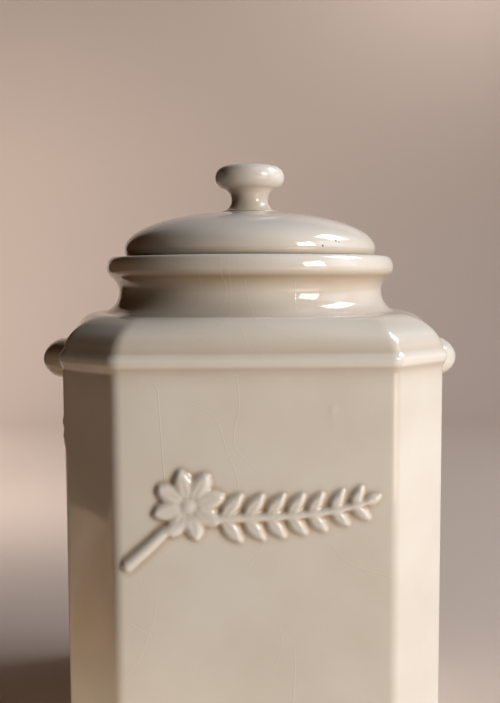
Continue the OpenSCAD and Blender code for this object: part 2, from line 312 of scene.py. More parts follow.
# Paler on the mouth's edge, as thin glaze and as painted highlight.
add_circles(mouth, -0.4)
bore_z = np.linspace(z_mouth - 3, z_flat - WALL + THROAT_IN_R + 1, 4)
add_circles(np.stack([np.full(4, MOUTH_R), bore_z], -1))
z_throat = z_flat - WALL - BITE + THROAT_IN_R
add_circles(arc(MOUTH_R + THROAT_IN_R, z_throat, THROAT_IN_R, THROAT_IN_R, 180, 264, 8))
inside_w, inside_h = SHOULDER_OUT - WALL - flat_off, SHOULDER_H - WALL
inside = superoval(flat_off, z_shoulder, inside_w, inside_h, SHOULDER_FULL, 90, 0, 10)
outside_z = superoval(flat_off, z_shoulder, 1, SHOULDER_H, SHOULDER_FULL, 90, 0, 10)[:, 1]
# Painted shade in the corners inside.
add_rows(inside[:, 0], inside[:, 1], 0.3, roundness(outside_z))
z_floor = FOOT_RECESS + FLOOR_T
add_rows(-WALL, np.linspace(WALL_TOP, z_floor + FLOOR_R + 2, 4), 0.0, 0.0)
floor_edge = arc(-WALL - FLOOR_R, z_floor + FLOOR_R, FLOOR_R, FLOOR_R, 0, -90, 7)
add_rows(floor_edge[:, 0], floor_edge[:, 1], 0.8, 0.0)
add_rows([-HALF_W / 2, -HALF_W], z_floor, 0.3, 0.0)

body_profile = np.vstack(profile)
body_points = rings(*body_profile[:, :3].T)
body_pool_and_shade = np.repeat(body_profile[:, 3:], body_points.shape[1], 1)
print("body grid:", body_points.shape)

# %% [markdown]
# ## The moulded sprig on the front
# A low relief stands on the front panel: one flower on a stem that rises to the right, with plain
# leaves in pairs. It is cast with the body and the glaze has softened it, so it is not a piece of
# its own. It is worked out as a height over the panel, from three shapes: a round strand, a leaf
# with a groove along it, and a dome. The heights are joined softly and blurred a little, as glaze
# would do it.


# %% Shapes of the relief
def spline(points, n):
    """n points of a smooth curve through the given ones: cubic pieces whose slope at each point
    is half the step between its neighbours."""
    p = np.asarray(points, float)
    p = np.vstack([2 * p[0] - p[1], p, 2 * p[-1] - p[-2]])
    t = np.linspace(0, len(p) - 3 - 1e-9, n)
    k = t.astype(int)
    u = (t - k)[:, None]
    a, b, c, d = p[k], p[k + 1], p[k + 2], p[k + 3]
    return 0.5 * (
        2 * b
        + (c - a) * u
        + (2 * a - 5 * b + 4 * c - d) * u**2
        + (3 * b - a - 3 * c + d) * u**3
    )


def strand(x, z, path, r0, r1, height):
    """Height of a round strand along path, whose radius goes from r0 to r1: height times the
    square root of 1 minus the squared share of the radius at which a point lies."""
    h = np.zeros_like(x)
    steps = len(path) - 1
    for i, (p, q) in enumerate(zip(path[:-1], path[1:])):
        along = q - p
        share = np.clip(((x - p[0]) * along[0] + (z - p[1]) * along[1]) / (along @ along), 0, 1)
        dist = np.hypot(x - p[0] - share * along[0], z - p[1] - share * along[1])
        r = r0 + (r1 - r0) * (i + share) / steps
        h = np.maximum(h, height * np.sqrt(np.clip(1 - (dist / r) ** 2, 0, 1)))
    return h


def leaf(x, z, base, tip, width, height, blunt=0.8, rib=0.4):
    """Height of a leaf or petal: rounded across, widest past its middle, with a groove along it.
    Its half width is a power of a half sine, and a lower power makes a blunter tip."""
    along = np.subtract(tip, base)
    length = np.hypot(*along)
    u = along / length
    s = ((x - base[0]) * u[0] + (z - base[1]) * u[1]) / length
    across = -(x - base[0]) * u[1] + (z - base[1]) * u[0]
    half = width / 2 * np.sin(np.pi * np.clip(s, 1e-4, 1 - 1e-4)) ** blunt
    body = height * np.sqrt(np.clip(1 - (across / half) ** 2, 0, 1))
    groove = rib * height * np.exp(-((across / 0.5) ** 2)) * np.clip(1.1 - s, 0, 1)
    return np.where((s > 0) & (s < 1), np.clip(body - groove, 0, None), 0)


def dome(x, z, centre, r, height):
    """Height of a flower's middle: a round dome of radius r."""
    return height * np.sqrt(np.clip(1 - ((x - centre[0]) ** 2 + (z - centre[1]) ** 2) / r**2, 0, 1))


# %% [markdown]
# The stem's points and the flower are given one by one, as a modeller would scratch them in clay.
# The leaves follow the stem in pairs, each a little shorter than the one before.

# %% The sprig, in millimetres across the front panel and up from the foot of the ledge
STEM = [
    (-52, -78), (-44, -71), (-36, -64), (-25, -60), (-10, -59.5),
    (8, -59), (25, -57.5), (38, -55), (46, -52.5),
]
STEM_R = (2.8, 1.2)
FLOWER = (-27.5, -54.0)
PETALS, PETAL_FROM, PETAL_L, PETAL_W = 8, 3.0, 14.5, 8.4
PETAL_TURN, PETAL_BLUNT, PETAL_RIB = 0.3, 0.55, 0.3
CENTRE_R = 4.4
LEAF_L, LEAF_W, LEAF_EVERY, LEAF_ANGLE, LEAF_SHRINK = 13.0, 6.6, 8.8, 48.0, 0.35
END_BACK, END_PAST, END_W = 12, (3.5, 1.5), 4.0
RELIEF, CENTRE_HIGH, LEAF_HIGH = 2.4, 1.02, 0.92
SOFT = 7


def sprig(x, z):
    """Height of the whole sprig: its parts' heights joined by a power sum, which rounds the
    valleys between them."""
    path = spline(STEM, 200)
    parts = [strand(x, z, path[::4], *STEM_R, RELIEF)]
    for a in 2 * np.pi * (np.arange(PETALS) + PETAL_TURN) / PETALS:
        ray = np.array([np.cos(a), np.sin(a)])
        base, tip = FLOWER + PETAL_FROM * ray, FLOWER + PETAL_L * ray
        parts.append(leaf(x, z, base, tip, PETAL_W, RELIEF, PETAL_BLUNT, PETAL_RIB))
    parts.append(dome(x, z, FLOWER, CENTRE_R, RELIEF * CENTRE_HIGH))
    walked = np.concatenate([[0], np.hypot(*np.diff(path, axis=0).T).cumsum()])
    first = walked[np.argmax(path[:, 0] > FLOWER[0] + PETAL_L - 2)]
    for place in np.arange(first, walked[-1] - 3, LEAF_EVERY):
        k = np.searchsorted(walked, place)
        heading = np.arctan2(*(path[k] - path[k - 1])[::-1])
        small = 1 - LEAF_SHRINK * (place - first) / (walked[-1] - first)
        for side in (-1, 1):
            a = heading + side * np.radians(LEAF_ANGLE)
            tip = path[k] + small * LEAF_L * np.array([np.cos(a), np.sin(a)])
            parts.append(leaf(x, z, path[k], tip, small * LEAF_W, LEAF_HIGH * RELIEF))
    parts.append(leaf(x, z, path[-END_BACK], path[-1] + END_PAST, END_W, LEAF_HIGH * RELIEF))
    return sum(p**SOFT for p in parts) ** (1 / SOFT)


def blur(field, spacing, radius):
    """Gaussian blur of a field on a square grid that is 0 outside: each direction is a weighted
    sum of shifts."""
    reach = int(np.ceil(2.5 * radius / spacing))
    taps = np.arange(-reach, reach + 1)
    weights = np.exp(-0.5 * (taps * spacing / radius) ** 2)
    weights /= weights.sum()
    field = np.pad(field, reach)
    for axis in (0, 1):
        field = sum(w * np.roll(field, t, axis) for w, t in zip(weights, taps))
    return field[reach:-reach, reach:-reach]


# %% Set the sprig on the front panel
columns_before_front = sum(sum(COLUMNS[side]) for side in ("right", "back", "left"))
front = slice(columns_before_front, columns_before_front + COLUMNS["front"][0])
in_sprig = np.flatnonzero(np.isin(body_profile[:, 1], sprig_rows) & (body_profile[:, 0] == 0))
rows = slice(in_sprig[0], in_sprig[-1] + 1)
panel_x, panel_up = body_points[rows, front, 0], body_points[rows, front, 2] - WALL_TOP
sharp = sprig(panel_x, panel_up)
height = blur(sharp, FINE, 0.6)
body_points[rows, front, 1] -= height
# Painted shade round the foot of each stroke of the sprig and a paler, painted highlight on its
# top, beside the glaze that gathers and thins there.
body_pool_and_shade[rows, front] = np.clip(1.6 * (blur(sharp, FINE, 1.6) - height), -0.9, 1.0)
print(f"sprig stands {height.max():.2f} mm proud of the panel")

# %% Two small blisters above the sprig: place, radius and height
BLISTERS = [((30.0, -16.5), 1.5, 0.22), ((31.5, -22.5), 2.2, 0.14)]
is_wall = (body_profile[:, 0] == 0) & (body_profile[:, 2] == 0)
walls = np.flatnonzero(is_wall & (body_profile[:, 1] > FOOT_R + 0.5))
walls = slice(walls[0], walls[-1] + 1)
wall_x, wall_up = body_points[walls, front, 0], body_points[walls, front, 2] - WALL_TOP
for (x0, up0), r, high in BLISTERS:
    from_spot = (wall_x - x0) ** 2 + (wall_up - up0) ** 2
    body_points[walls, front, 1] -= high * np.exp(-from_spot / r**2)

# %% [markdown]
# On the left, glaze has run down the soft edge beside the lug and set as a thin trail with beads.

# %% The run of glaze
RUN_TO, RUN_FADE, RUN_HALF_W, RUN_HIGH, RUN_HEADING = -36.0, 4, 1.4, 0.45, 195.0
RUN_BEADS, RUN_BEAD_L = [(-23.5, 0.55), (-29.5, 0.4)], 1.6
run_column = sum(sum(COLUMNS[side]) for side in ("right", "back")) + COLUMNS["left"][0] + 2
wall_points = body_points[walls]
up = wall_points[..., 2] - WALL_TOP
down = np.clip((up - RUN_TO) / RUN_FADE, 0, 1)
trail = RUN_HIGH * down**2 * (3 - 2 * down)
for bead_up, bead_high in RUN_BEADS:
    trail = trail + bead_high * np.exp(-(((up - bead_up) / RUN_BEAD_L) ** 2))
from_run = wall_points[..., :2] - wall_points[:, run_column : run_column + 1, :2]
trail = trail * np.exp(-(from_run**2).sum(-1) / RUN_HALF_W**2)
wall_points[..., 0] += trail * np.cos(np.radians(RUN_HEADING))
wall_points[..., 1] += trail * np.sin(np.radians(RUN_HEADING))

# %% [markdown]
# The long flat walls of a casting sink a little as it dries, most in the middle of each side.

# %% Sink the four flat sides
SINK = 0.8
wall_points = body_points[walls]
tall = (wall_points[..., 2] - wall_points[0, 0, 2]) / (WALL_TOP - wall_points[0, 0, 2])
side_reach = np.abs(plan(np.zeros(1))[1][0, 0])
for axis, other in ((0, 1), (1, 0)):
    flat = np.abs(wall_points[..., axis]) > HALF_W - 0.3
    share = np.clip(wall_points[..., other] / side_reach, -1, 1)
    dip = SINK * (1 - share**2) ** 1.3 * np.sin(np.pi * np.clip(tall, 0, 1)) ** 0.5 * flat
    wall_points[..., axis] -= np.sign(wall_points[..., axis]) * dip

# %% [markdown]
# ## Crazing
# Where the clay cracked in drying, the glaze has healed over it and left a fine raised vein. Veins
# run down the neck, fan out over the shoulder and wander over the panel. Each is a curve through
# a few places on the surface. Every vertex keeps its distance from the nearest vein with a sign
# for the side, because the zero between two vertices is then exact: a vein can be much finer
# than the mesh. A second number, which falls to 0 away from the veins, tells real zeros apart
# from the places halfway between two veins, where the sign flips too.

# %% Veins, in millimetres across and up from the foot of the ledge, on the front of the jar
VEINS = [
    [(-43, -4), (-40, -6), (-39, -10), (-38, -28), (-37, -43)],
    [(-28, -12), (-22, -15), (-16, -20), (-12, -32), (-8, -43), (-7, -54)],
    [(-8, -1), (-7, -14), (-9, -25), (-8, -32), (0, -41)],
    [(-40, -90), (-42, -101), (-44, -107), (-48, -117), (-56, -128)],
    [(-54, -101), (-49, -104), (-44, -107), (-41, -109)],
    [(9, -104), (10, -113), (8, -119), (6, -126)],
    [(9, -104), (12, -109), (15, -115), (15, -130), (13, -150)],
    [(30, -69), (33, -75), (38, -79), (46, -82), (56, -85)],
    [(3, -70), (0, -75), (-4, -81)],
    [(-48, -80), (-47, -87)],
    [(-24, 45), (-23, 38), (-22, 31), (-23, 27), (-27, 22)],
    [(-14, 45), (-14, 39), (-12, 34), (-12, 30), (-13, 26), (-16, 22)],
    [(-11, 45), (-11, 40), (-10, 35), (-10, 25), (-11, 21), (-14, 18), (-17, 14), (-23, 11)],
    [(-7, 45), (-6, 40)],
    [(-4, 36), (-3, 30), (-2, 25), (0, 20)],
    [(-1, 45), (1, 41)],
    [(-10, 21), (-8, 20), (-6, 17), (-4, 12), (-1, 5)],
    [(3, 19), (6, 16), (12, 14), (22, 12)],
    [(17, 35), (17, 24)],
]
VEIN_REACH = 1.6


# %% Distance of the front's vertices from the veins
def on_surface(path, surface):
    """The path's places, each with the depth of the vertex that is nearest seen from the front."""
    gap = (path[:, :1] - surface[:, 0]) ** 2 + (path[:, 1:] - surface[:, 2]) ** 2
    return np.column_stack([path[:, 0], surface[gap.argmin(1), 1], path[:, 1]])


outer = slice(np.flatnonzero(body_profile[:, 1] > FOOT_R)[0], np.argmax(body_profile[:, 1]) + 1)
is_front = body_points[outer, :, 1] < -25
front_verts = body_points[outer][is_front]
nearest = np.full(len(front_verts), 1e3)
side = np.ones(len(front_verts))
for vein in VEINS:
    path = spline(vein, 8 * len(vein)) + (0, WALL_TOP)
    path = on_surface(path, front_verts)
    for p, q in zip(path[:-1], path[1:]):
        along = q - p
        share = np.clip((front_verts - p) @ along / (along @ along), 0, 1)
        gap = front_verts - p - share[:, None] * along
        dist = np.sqrt((gap**2).sum(1))
        closer = dist < nearest
        nearest[closer] = dist[closer]
        side[closer] = np.sign(along[0] * gap[closer, 2] - along[2] * gap[closer, 0])
body_vein = np.full(body_points.shape[:2], VEIN_REACH)
body_vein[outer][is_front] = side * np.minimum(nearest, VEIN_REACH)
body_close = np.zeros(body_points.shape[:2])
body_close[outer][is_front] = np.clip(1 - nearest / VEIN_REACH, 0, 1)
body_front = np.zeros(body_points.shape[:2])
body_front[outer][is_front] = 1.0
print("veins:", len(VEINS), "vertices beside them:", int((nearest < VEIN_REACH).sum()))

# %% Bare clay on the foot ring, and the body's mesh
on_ring = (body_profile[:, 1] < 0.6) & (body_profile[:, 0] > ring_in - 0.1)
body_bare = np.repeat(on_ring[:, None].astype(float), body_points.shape[1], 1)
jar_glazed = grid_piece("jar_body_glazed", body_points, {
    "pool_and_shade": body_pool_and_shade,
    "vein": body_vein,
    "vein_close": body_close,
    "front": body_front,
    "bare": body_bare,
})

# %% [markdown]
# ## Lugs
# A lug is a thick, blunt ear, pressed on under the ledge. It is a stack of ovals that starts a
# little inside the wall, flares at its root into a fillet underneath, and closes over the nose.

# %% Lug
LUG_REACH = lug_high[0] - HALF_W
LUG_LEN, LUG_T, LUG_RISE, LUG_FILLET, LUG_FULL = 48.0, 18.6, -1.0, 5.0, 2.5
LUG_SINK = 0.6


def drawn_in(row):
    """A row of points drawn together into its middle, as a pole of the grid."""
    return np.broadcast_to(row.mean(1, keepdims=True), row.shape)


def lug_points(columns=72):
    """Ovals at depth x from the wall, with x going from just inside it to the nose.

    Half the thickness is the height of a half-round nose at that depth, and half the length is
    that of a corner as deep as the lug. The root flares by the round of its fillet, underneath
    and at the ends. An oval is (|cos| and |sin|) to the power 2 / fullness.
    """
    nose = LUG_T / 2
    root = LUG_FILLET * (1 - np.cos(np.radians(np.linspace(0, 90, 12))))
    tip = LUG_REACH - nose + nose * np.sin(np.radians(np.linspace(0, 89, 26)))
    x = np.concatenate([[-LUG_SINK], root, tip, [LUG_REACH]])
    inside = np.clip(x, 0, None)
    past = np.clip(x - LUG_REACH + nose, 0, nose)
    left = np.clip(LUG_FILLET - inside, 0, None)
    flare = LUG_FILLET - np.sqrt(LUG_FILLET**2 - left**2)
    high = np.sqrt(nose**2 - past**2)
    long = LUG_LEN / 2 - LUG_REACH + np.sqrt(np.clip(LUG_REACH**2 - inside**2, 0, None)) + flare
    a = np.linspace(0, 2 * np.pi, columns, endpoint=False)
    c, s = np.cos(a), np.sin(a)
    up = np.sign(c) * np.abs(c) ** (2 / LUG_FULL)
    side = np.sign(s) * np.abs(s) ** (2 / LUG_FULL)
    z = (high[:, None] + np.where(c < 0, flare[:, None], 0)) * up
    y = long[:, None] * side
    x = np.broadcast_to(x[:, None] + HALF_W, y.shape)
    points = np.stack([x, y, z + WALL_TOP + LUG_RISE], -1)
    points = np.concatenate([drawn_in(points[:1]), points, drawn_in(points[-1:])])
    # Painted shade at the lug's root, where glaze also gathers in its fillet.
    pool_and_shade = np.repeat(np.clip(1 - inside / LUG_FILLET, 0, 1)[:, None] * 0.9, columns, 1)
    pool_and_shade = np.concatenate([pool_and_shade[:1], pool_and_shade, pool_and_shade[-1:]])
    return points, pool_and_shade


lug, lug_pool_and_shade = lug_points()
right_lug = grid_piece("right_lug_glazed", lug[:, ::-1], {"pool_and_shade": lug_pool_and_shade[:, ::-1]})
left_lug = grid_piece("left_lug_glazed", lug * np.array([-1, 1, 1]), {"pool_and_shade": lug_pool_and_shade})

# %% [markdown]
# ## Lid and knob
# Both were turned, so each is a profile spun round the axis. The lid's lower edge turns in to the
# seat and its flange hangs into the mouth. The knob is luted to the top.

# %% Spin a profile
AROUND = 144


def spin(points, pool_and_shade, name):
    """The profile of (radius, height) points spun round the axis, radius times (cos a, sin a)."""
    a = np.linspace(0, 2 * np.pi, AROUND, endpoint=False)
    x, y = points[:, :1] * np.cos(a), points[:, :1] * np.sin(a)
    grid = np.stack([x, y, np.broadcast_to(points[:, 1:], x.shape)], -1)
    return grid_piece(name, grid, {"pool_and_shade": np.repeat(pool_and_shade[:, None], AROUND, 1)})


def join(stretches):
    """Joins stretches of (points, pool at their start, pool at their end) to one profile."""
    points = np.vstack([p for p, _, _ in stretches])
    pool_and_shade = np.concatenate([np.linspace(a, b, len(p)) for p, a, b in stretches])
    return points, pool_and_shade


# %% Lid
LID_R, LID_EDGE_H, LID_EDGE_IN = MOUTH_R + 3.7, 3.2, 1.7
LID_DOME_H, LID_FULL, LID_T = 18.2, 2.07, 6.0
FLANGE_H, FLANGE_T, FLANGE_PLAY = 9.0, 4.5, 1.2
SEAT_GAP = 0.2
KNOB_FOOT_R = 13.2

z_seat = z_mouth + SEAT_GAP
z_lid = z_seat + LID_EDGE_H
flange_r = MOUTH_R - FLANGE_PLAY
inner_r = flange_r - FLANGE_T
seat_angle = np.degrees(np.arccos((KNOB_FOOT_R / LID_R) ** (LID_FULL / 2)))
lid_top = superoval(0, z_lid, LID_R, LID_DOME_H, LID_FULL, 0, seat_angle, 60)
z_knob = lid_top[-1, 1]
flange_mid, z_flange = flange_r - FLANGE_T / 2, z_seat - FLANGE_H + FLANGE_T / 2
flange_end = arc(flange_mid, z_flange, FLANGE_T / 2, FLANGE_T / 2, -180, 0, 17)
flange_root = [(flange_r, z_seat - 2), (flange_r, z_seat - 0.3), (flange_r + 0.3, z_seat)]
# Painted shade under the lid's edge, at the root of its flange and toward the knob.
lid_profile, lid_pool_and_shade = join([
    (superoval(0, z_lid, inner_r, LID_DOME_H - LID_T, LID_FULL, 90, 0, 30), 0.2, 0.5),
    (flange_end, 0, 0),
    (np.array(flange_root), 0.3, 1.0),
    (arc(LID_R - LID_EDGE_IN, z_lid, LID_EDGE_IN, LID_EDGE_H, -90, -6, 12), 1.0, 0.3),
    (lid_top[:20], 0.1, 0.0),
    (lid_top[20:], 0.0, 0.2),
    (np.array([(0.0, z_knob)]), 0.0, 0.0),
])
lid_glazed = spin(lid_profile, lid_pool_and_shade, "lid_glazed")
print(f"lid top at {z_knob:.2f} mm, and in the frame at {lid_high[2]:.2f} mm")

# %% Knob
KNOB_R, KNOB_WAIST_R, KNOB_HOLLOW_R = 16.5, 8.7, 5.6
KNOB_WAIST_H, KNOB_BEAD_H, KNOB_TOP_H = 6.0, 10.5, 6.6
hollow_x = KNOB_WAIST_R + KNOB_HOLLOW_R
z_waist, z_bead = z_knob + KNOB_WAIST_H, z_knob + KNOB_WAIST_H + KNOB_BEAD_H
knob_bead_r = bead_radius(hollow_x, KNOB_R, KNOB_BEAD_H, KNOB_HOLLOW_R)
bead_x = KNOB_R - knob_bead_r
knob_meet = np.degrees(np.arctan2(KNOB_BEAD_H, bead_x - hollow_x))
foot_angle = 180 + np.degrees(np.arccos((hollow_x - KNOB_FOOT_R) / KNOB_HOLLOW_R))
dome_r = (bead_x**2 + KNOB_TOP_H**2 - knob_bead_r**2) / (2 * (KNOB_TOP_H - knob_bead_r))
dome_angle = np.degrees(np.arctan2(dome_r - KNOB_TOP_H, bead_x))
# Painted shade round the knob's foot and in its waist, and a paler, painted highlight on its bead.
knob_profile, knob_pool_and_shade = join([
    (np.array([(0.0, z_knob), (KNOB_FOOT_R, z_knob)]), 1.0, 1.0),
    (arc(hollow_x, z_waist, KNOB_HOLLOW_R, KNOB_HOLLOW_R, foot_angle, knob_meet, 30), 0.7, 0.3),
    (arc(bead_x, z_bead, knob_bead_r, knob_bead_r, knob_meet - 180, dome_angle, 34)[1:], 0.3, -0.4),
    (arc(0, z_bead + KNOB_TOP_H - dome_r, dome_r, dome_r, dome_angle, 90, 14)[1:], -0.2, 0.1),
])
knob_glazed = spin(knob_profile, knob_pool_and_shade, "lid_knob_glazed")
print(f"knob top at {knob_profile[-1, 1]:.2f} mm, and in the frame at {knob_high[2]:.2f} mm")

# %% [markdown]
# ## The glaze
# Earthenware under a cream glaze: a pale clay body, a glassy coat of about half a millimetre with
# an index near 1.5, and iron in it that turns it honey brown where it is thick. The same honey
# brown is also painted shade in hollows, creases and under edges, and a paler colour is a painted
# highlight on edges and crests. The clay gives the colour and the glass gives a sharp reflection
# that ripples slightly, because glaze flows and never sets quite flat. All patterns read Object
# coordinates, in metres.


# %% Helpers for node materials
def linear(code):
    """An sRGB hex colour as linear red, green, blue and alpha: each channel c becomes c / 12.92
    when small, or ((c + 0.055) / 1.055) to the power 2.4."""
    c = np.array([int(code[i : i + 2], 16) for i in (1, 3, 5)]) / 255
    rgb = np.where(c <= 0.04045, c / 12.92, ((c + 0.055) / 1.055) ** 2.4)
    return (*rgb.tolist(), 1.0)


def add(tree, kind, settings=None, links=None):
    """Adds a node of a kind, sets its properties or the defaults of its inputs, and links its
    inputs to the outputs given. A number stands for an input whose name the node repeats."""
    node = tree.nodes.new(kind)
    for key, value in (settings or {}).items():
        if isinstance(key, str) and hasattr(node, key):
            setattr(node, key, value)
        else:
            node.inputs[key].default_value = value
    for key, socket in (links or {}).items():
        tree.links.new(socket, node.inputs[key])
    return node


def math(tree, operation, a, b=0.0):
    """Output of a Math node that takes sockets or plain numbers."""
    node = add(tree, "ShaderNodeMath", {"operation": operation})
    for slot, value in enumerate((a, b)):
        if isinstance(value, (int, float)):
            node.inputs[slot].default_value = value
        else:
            tree.links.new(value, node.inputs[slot])
    return node.outputs[0]


def ramp(tree, value, low, high, start, end, smooth=False):
    """Output of a Map Range node: value from low to high becomes start to end, and is held
    beyond them."""
    settings = {1: low, 2: high, 3: start, 4: end}
    if smooth:
        settings["interpolation_type"] = "SMOOTHSTEP"
    return add(tree, "ShaderNodeMapRange", settings, {0: value}).outputs[0]


def mix(tree, share, base, over):
    """Colour base with share of the colour over laid on it, as sockets or hex codes."""
    node = add(tree, "ShaderNodeMix", {"data_type": "RGBA"}, {0: share})
    for slot, colour in ((6, base), (7, over)):
        if isinstance(colour, str):
            node.inputs[slot].default_value = linear(colour)
        else:
            tree.links.new(colour, node.inputs[slot])
    return node.outputs[2]


def scaled(tree, coords, size_mm, stretch=(1, 1, 1)):
    """Object coordinates divided by a real size in millimetres, so that a texture at scale 1
    repeats about once in that size. stretch makes it longer along an axis."""
    scale = tuple(1 / (size_mm * MM * s) for s in stretch)
    return add(tree, "ShaderNodeMapping", {"Scale": scale}, {"Vector": coords}).outputs["Vector"]


def noise(tree, coords, size_mm, detail=1.0, stretch=(1, 1, 1)):
    """Noise whose blots are about size_mm across, from 0 to 1."""
    links = {"Vector": scaled(tree, coords, size_mm, stretch)}
    return add(tree, "ShaderNodeTexNoise", {"Scale": 1.0, "Detail": detail}, links).outputs["Fac"]


def bumped(tree, height, distance_mm, normal=None):
    """Normal of a surface whose height goes through distance_mm as the value goes from 0 to 1."""
    settings = {"Strength": 1.0, "Distance": distance_mm * MM}
    links = {"Height": height}
    if normal is not None:
        links["Normal"] = normal
    return add(tree, "ShaderNodeBump", settings, links).outputs[0]


# %% Cream glaze over earthenware
CREAM = "#EAE3D7"
THIN_AND_HIGHLIGHT = "#F1ECE4"
POOLED_AND_SHADE = "#A07A42"
BARE_CLAY = "#CDB089"
IRON = "#3A2A1A"
VEIN_HALF_W, VEIN_HIGH = 0.4, 0.04
VEIN_CELL, VEIN_BEND, VEIN_PATCH = 62, 30, 55
PIT_R = 0.45


def vein_height(tree, coords):
    """Height of the veins, from 0 to 1: on the front by the distance that its vertices keep, and
    elsewhere along the borders of large, bent cells, in patches."""
    distance = add(tree, "ShaderNodeAttribute", {"attribute_name": "vein"}).outputs["Fac"]
    close = add(tree, "ShaderNodeAttribute", {"attribute_name": "vein_close"}).outputs["Fac"]
    front = add(tree, "ShaderNodeAttribute", {"attribute_name": "front"}).outputs["Fac"]
    ridge = ramp(tree, math(tree, "ABSOLUTE", distance), 0.0, VEIN_HALF_W, 1.0, 0.0, True)
    drawn = math(tree, "MULTIPLY", ridge, ramp(tree, close, 0.3, 0.5, 0.0, 1.0))
    bend_at = {"Vector": scaled(tree, coords, VEIN_BEND)}
    bend = add(tree, "ShaderNodeTexNoise", {"Scale": 1.0, "Detail": 1.0}, bend_at)
    bent = add(tree, "ShaderNodeVectorMath", {"operation": "MULTIPLY_ADD", 1: (0.9, 0.9, 0.9)})
    tree.links.new(bend.outputs["Color"], bent.inputs[0])
    tree.links.new(scaled(tree, coords, VEIN_CELL), bent.inputs[2])
    settings = {"feature": "DISTANCE_TO_EDGE", "Scale": 1.0}
    cells = add(tree, "ShaderNodeTexVoronoi", settings, {"Vector": bent.outputs[0]})
    border = ramp(tree, cells.outputs["Distance"], 0.0, VEIN_HALF_W / VEIN_CELL, 1.0, 0.0, True)
    patchy = ramp(tree, noise(tree, coords, VEIN_PATCH), 0.5, 0.6, 0.0, 0.7)
    grown = math(tree, "MULTIPLY", border, patchy)
    grown = math(tree, "MULTIPLY", grown, math(tree, "SUBTRACT", 1.0, front))
    return math(tree, "ADD", drawn, grown)


def pits(tree, coords, places):
    """1 inside small round pits at the places given in millimetres, and 0 elsewhere."""
    total = 0.0
    for place in places:
        centre = tuple(float(v) * MM for v in place)
        gap = add(tree, "ShaderNodeVectorMath", {"operation": "DISTANCE", 1: centre}, {0: coords})
        inside = math(tree, "LESS_THAN", gap.outputs["Value"], PIT_R * MM)
        total = math(tree, "MAXIMUM", inside, total)
    return total


def cream_glaze(name, wheel=0.0, pit_places=()):
    """Glazed earthenware: colour from the glaze's depth, with painted shade in hollows and under
    edges and a painted highlight on edges, crests and veins, and a clear coat whose bump has long
    ripples, fine orange peel, veins, and the faint rings that turning leaves."""
    material = bpy.data.materials.new(name)
    material.use_nodes = True
    tree = material.node_tree
    shader = tree.nodes["Principled BSDF"]
    shader.inputs["IOR"].default_value = 1.52
    coords = add(tree, "ShaderNodeTexCoord").outputs["Object"]
    pool_and_shade = add(tree, "ShaderNodeAttribute", {"attribute_name": "pool_and_shade"}).outputs["Fac"]
    bare = add(tree, "ShaderNodeAttribute", {"attribute_name": "bare"}).outputs["Fac"]
    veins = vein_height(tree, coords)

    # Colour: mottled cream, honey where the glaze gathers and as painted shade in hollows and under
    # edges, paler where it runs thin and as painted highlight on edges and crests
    clouds = ramp(tree, noise(tree, coords, 38, 3.0), 0.35, 0.65, 0.0, 0.1)
    depth = math(tree, "ADD", clouds, ramp(tree, pool_and_shade, 0.0, 1.0, 0.0, 0.6))
    colour = mix(tree, depth, CREAM, POOLED_AND_SHADE)
    colour = mix(tree, ramp(tree, pool_and_shade, 0.0, -0.8, 0.0, 0.8), colour, THIN_AND_HIGHLIGHT)
    # Veins painted paler: a painted highlight along each raised vein.
    colour = mix(tree, math(tree, "MULTIPLY", veins, 0.15), colour, THIN_AND_HIGHLIGHT)

    # Pinholes: a speck in a few of the cells of a 19 mm lattice, and the pits listed
    lattice_at = {"Vector": scaled(tree, coords, 19)}
    lattice = add(tree, "ShaderNodeTexVoronoi", {"Scale": 1.0}, lattice_at)
    speck = math(tree, "LESS_THAN", lattice.outputs["Distance"], 0.016)
    pick = add(tree, "ShaderNodeSeparateColor", {}, {0: lattice.outputs["Color"]}).outputs[0]
    speck = math(tree, "MULTIPLY", speck, math(tree, "GREATER_THAN", pick, 0.6))
    speck = math(tree, "MAXIMUM", speck, pits(tree, coords, pit_places))
    colour = mix(tree, speck, colour, IRON)
    colour = mix(tree, bare, colour, BARE_CLAY)
    tree.links.new(colour, shader.inputs["Base Color"])

    # Gloss: glassy, a little duller in patches, and matt on bare clay
    gloss = ramp(tree, noise(tree, coords, 22, 2.0), 0.3, 0.7, 0.045, 0.09)
    gloss = math(tree, "ADD", gloss, math(tree, "MULTIPLY", bare, 0.65))
    tree.links.new(gloss, shader.inputs["Roughness"])

    # Surface: ripples 30 mm long, orange peel of 3 mm, veins, and rings 2 mm apart
    normal = bumped(tree, noise(tree, coords, 30), 0.20)
    normal = bumped(tree, noise(tree, coords, 3), 0.006, normal)
    normal = bumped(tree, veins, VEIN_HIGH, normal)
    if wheel:
        normal = bumped(tree, noise(tree, coords, 2, stretch=(60, 60, 1)), wheel, normal)
    tree.links.new(normal, shader.inputs["Normal"])
    return material


# %% Pinholes of the lid, by the angle from the front and the height above the lid's edge
LID_PITS = [(36.8, 2.4), (29.5, 0.2)]
pit_places = []
for angle, up in LID_PITS:
    r = LID_R * (1 - (up / LID_DOME_H) ** LID_FULL) ** (1 / LID_FULL)
    pit_places.append((r * np.sin(np.radians(angle)), -r * np.cos(np.radians(angle)), z_lid + up))
body_glaze = cream_glaze("cream_glazed_earthenware_body", wheel=0.006)
lug_glaze = cream_glaze("cream_glazed_earthenware_lugs")
lid_glaze = cream_glaze("cream_glazed_earthenware_lid", wheel=0.004, pit_places=pit_places)

# %% [markdown]
# ## What rides on what
# The body and its lugs are one pot. The lid and its knob lift off together. Each new surface
# stands for the solid that it dresses.

